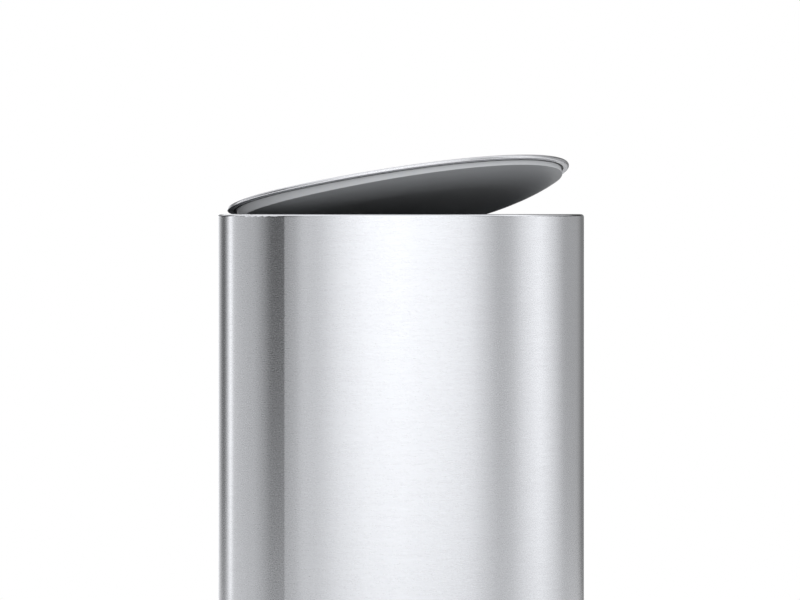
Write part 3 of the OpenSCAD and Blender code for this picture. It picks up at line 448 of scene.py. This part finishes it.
def screws(name, places, length, turn, body, node):
    """Puts a body's screws in the scene as one plain mesh. Length and places are in mm, turn in radians."""
    points = bpy.data.meshes.new(name + "_places")
    points.from_pydata([tuple(Vector(spot) * MM) for spot in places], [], [])
    carrier = bpy.data.objects.new(name + "_places", points)
    bpy.context.scene.collection.objects.link(carrier)
    modifier = carrier.modifiers.new("screws", "NODES")
    modifier.node_group = cross_screws
    values = {"Length": length * MM, "Turn": turn, "Finish": finishes["zinc_steel"]}
    for socket in cross_screws.interface.items_tree:
        if socket.in_out == "INPUT" and socket.name in values:
            modifier[socket.identifier] = values[socket.name]
    carrier.update_tag()
    bpy.context.view_layer.update()
    mesh = bpy.data.meshes.new_from_object(carrier.evaluated_get(bpy.context.evaluated_depsgraph_get()))
    carrier.modifiers.remove(modifier)
    bpy.data.objects.remove(carrier)
    mesh.name = name
    piece_of(name, mesh, "zinc_steel", body, [node])


cross_screws = screw_tree()
COVER_TOP = 227.4
COVER_SCREW_X, COVER_SCREW_Y = (-36.3, 36.3), (25.7, 50.9)
COVER_SCREW_LENGTH = 6
COVER_SCREW_TURN = (0, 0, 0.4)
screws("cover_cross_screws", [(x, y, COVER_TOP) for x in COVER_SCREW_X for y in COVER_SCREW_Y],
       COVER_SCREW_LENGTH, COVER_SCREW_TURN, "bin", "cover_screws")

# The lid's screws have their heads underneath, so they are turned over and lean with the lid
LID_SCREW_X, LID_SCREW_Y, LID_SCREW_Z = (-19.4, -8.6, 5.6, 16.4), 33.25, 229.96
LID_SCREW_LENGTH = 5.6
LID_SCREW_TURN = (math.pi - REST_ANGLE, 0, 0)
screws("lid_cross_screws", [lid_point(x, LID_SCREW_Y, LID_SCREW_Z) for x in LID_SCREW_X],
       LID_SCREW_LENGTH, LID_SCREW_TURN, "lid", "lid_screws")


# Floor, light and camera

# The camera stands far off at the height of the rim, on the side of the hinge's left end. In metres.
VIEW_ANGLE = math.radians(215.14)
VIEW_PITCH = math.radians(0.749)
VIEW_DISTANCE = 3.0
VIEW_LENS = 295.56
AIM_Y = 0.0138
FLOOR_RADIUS = 0.7
FLOOR_GLOW, FLOOR_SHARE = 1.15, 0.55


def photo_camera():
    """Camera that sees the bin as the photograph does."""
    data = bpy.data.cameras.new("view")
    data.lens = VIEW_LENS
    data.sensor_width = 36
    data.clip_end = 50
    camera = bpy.data.objects.new("view", data)
    bpy.context.scene.collection.objects.link(camera)
    side, back = math.cos(VIEW_ANGLE), math.sin(VIEW_ANGLE)
    camera.location = (VIEW_DISTANCE * side, AIM_Y + VIEW_DISTANCE * back, RIM_Z * MM)
    level, down = math.cos(VIEW_PITCH), math.sin(VIEW_PITCH)
    looking = Vector((-side * level, -back * level, -down))
    camera.rotation_euler = looking.to_track_quat("-Z", "Y").to_euler()
    bpy.context.scene.camera = camera


def pale_floor():
    """Disc of matte pale card. The camera and the steel see it a little brighter than it is lit."""
    shape = bmesh.new()
    bmesh.ops.create_circle(shape, cap_ends=True, segments=96, radius=FLOOR_RADIUS)
    mesh = bpy.data.meshes.new("floor")
    shape.to_mesh(mesh)
    shape.free()
    floor = bpy.data.objects.new("floor", mesh)
    bpy.context.scene.collection.objects.link(floor)
    material, tree, shader = new_material("pale_card")
    wire(tree, shader, {"Base Color": linear("#ececec"), "Roughness": 0.9, "Specular IOR Level": 0.1})
    ray = add(tree, "ShaderNodeLightPath").outputs
    either = add(tree, "ShaderNodeMath", {"operation": "MAXIMUM"},
                 n0=ray["Is Camera Ray"], n1=ray["Is Glossy Ray"])
    share = add(tree, "ShaderNodeMath", {"operation": "MULTIPLY", "1": FLOOR_SHARE}, n0=either)
    glow = add(tree, "ShaderNodeEmission", {"Strength": FLOOR_GLOW})
    card = add(tree, "ShaderNodeMixShader", None, n0=share, n1=shader, n2=glow)
    wire(tree, next(node for node in tree.nodes if node.type == "OUTPUT_MATERIAL"), n0=card)
    mesh.materials.append(material)


# Studio round the bin, as the steel mirrors it: brightness by direction, in degrees from the camera's side
# and positive to its right
PANELS = [
    # White wall, from straight behind the bin to its left
    (-180, 1.6), (-162, 1.55), (-154, 1.0), (-148, 0.6), (-140, 0.18), (-133, 0.15),
    # Narrow lamp on the left, and the grey wall next to it
    (-126, 0.75), (-119, 2.1), (-112, 0.87), (-78, 0.65), (-64, 0.3),
    # Black card
    (-56, 0.03), (-46, 0.0), (-41, 0.05), (-35, 0.5),
    # Wide soft lamp, from the left of the camera to well on its right
    (-30, 0.97), (-22, 0.96), (-10, 1.55), (4, 1.97), (20, 2.1), (44, 1.85), (58, 1.62), (66, 1.22),
    # Dimmer gap, and a second soft lamp on the right
    (76, 0.7), (84, 0.76), (94, 1.33), (106, 1.72), (118, 1.17),
    # Dim corner behind on the right
    (130, 0.6), (150, 0.5), (162, 0.2), (180, 0.3),
]
# By the upward part of a direction of length 1: a dim ring over the lamps, and an even ceiling above it
RING_FOOT, RING_TOP = (0.09, 0.15), (0.26, 0.34)
RING_LEVEL = 0.25
CEILING_FOOT = (0.6, 0.8)
CEILING_LEVEL = 1.2


def grey(level):
    """Colour of an even grey light."""
    return (level, level, level, 1)


def studio():
    """World that lights the bin, and that the camera sees as plain white."""
    world = bpy.data.worlds.new("studio")
    bpy.context.scene.world = world
    world.use_nodes = True
    tree = world.node_tree
    tree.nodes.clear()
    direction = add(tree, "ShaderNodeVectorRotate", {"rotation_type": "Z_AXIS", "Angle": -VIEW_ANGLE},
                    Vector=add(tree, "ShaderNodeTexCoord").outputs["Generated"])
    parts = add(tree, "ShaderNodeSeparateXYZ", None, Vector=direction).outputs
    angle = add(tree, "ShaderNodeMath", {"operation": "ARCTAN2"}, n0=parts["Y"], n1=parts["X"])
    around = add(tree, "ShaderNodeMapRange", {"From Min": -math.pi, "From Max": math.pi}, Value=angle)
    lamps = add(tree, "ShaderNodeValToRGB", None, Fac=around)
    stops = lamps.color_ramp.elements
    while len(stops) < len(PANELS):
        stops.new(0.5)
    for stop, (degrees, level) in zip(stops, PANELS):
        stop.position = degrees / 360 + 0.5
        stop.color = grey(level)
    rise = parts["Z"]
    above = add(tree, "ShaderNodeMapRange", {"From Min": RING_FOOT[0], "From Max": RING_FOOT[1]}, Value=rise)
    below = add(tree, "ShaderNodeMapRange",
                {"From Min": RING_TOP[0], "From Max": RING_TOP[1], "To Min": 1.0, "To Max": 0.0}, Value=rise)
    ring = add(tree, "ShaderNodeMath", {"operation": "MULTIPLY"}, n0=above, n1=below)
    dimmed = add(tree, "ShaderNodeMix",
                 {"data_type": "RGBA", "blend_type": "MULTIPLY", "7": grey(RING_LEVEL)}, n0=ring, n6=lamps)
    high = add(tree, "ShaderNodeMapRange",
               {"From Min": CEILING_FOOT[0], "From Max": CEILING_FOOT[1]}, Value=rise)
    room = add(tree, "ShaderNodeMix", {"data_type": "RGBA", "7": grey(CEILING_LEVEL)}, n0=high, n6=dimmed)
    ray = add(tree, "ShaderNodeLightPath").outputs
    seen = add(tree, "ShaderNodeMix", {"data_type": "RGBA", "7": grey(1)}, n0=ray["Is Camera Ray"], n6=room)
    light = add(tree, "ShaderNodeBackground", {"Strength": 1.0}, Color=seen)
    add(tree, "ShaderNodeOutputWorld", None, Surface=light)


photo_camera()
pale_floor()
studio()
bpy.context.scene.view_settings.view_transform = "Standard"
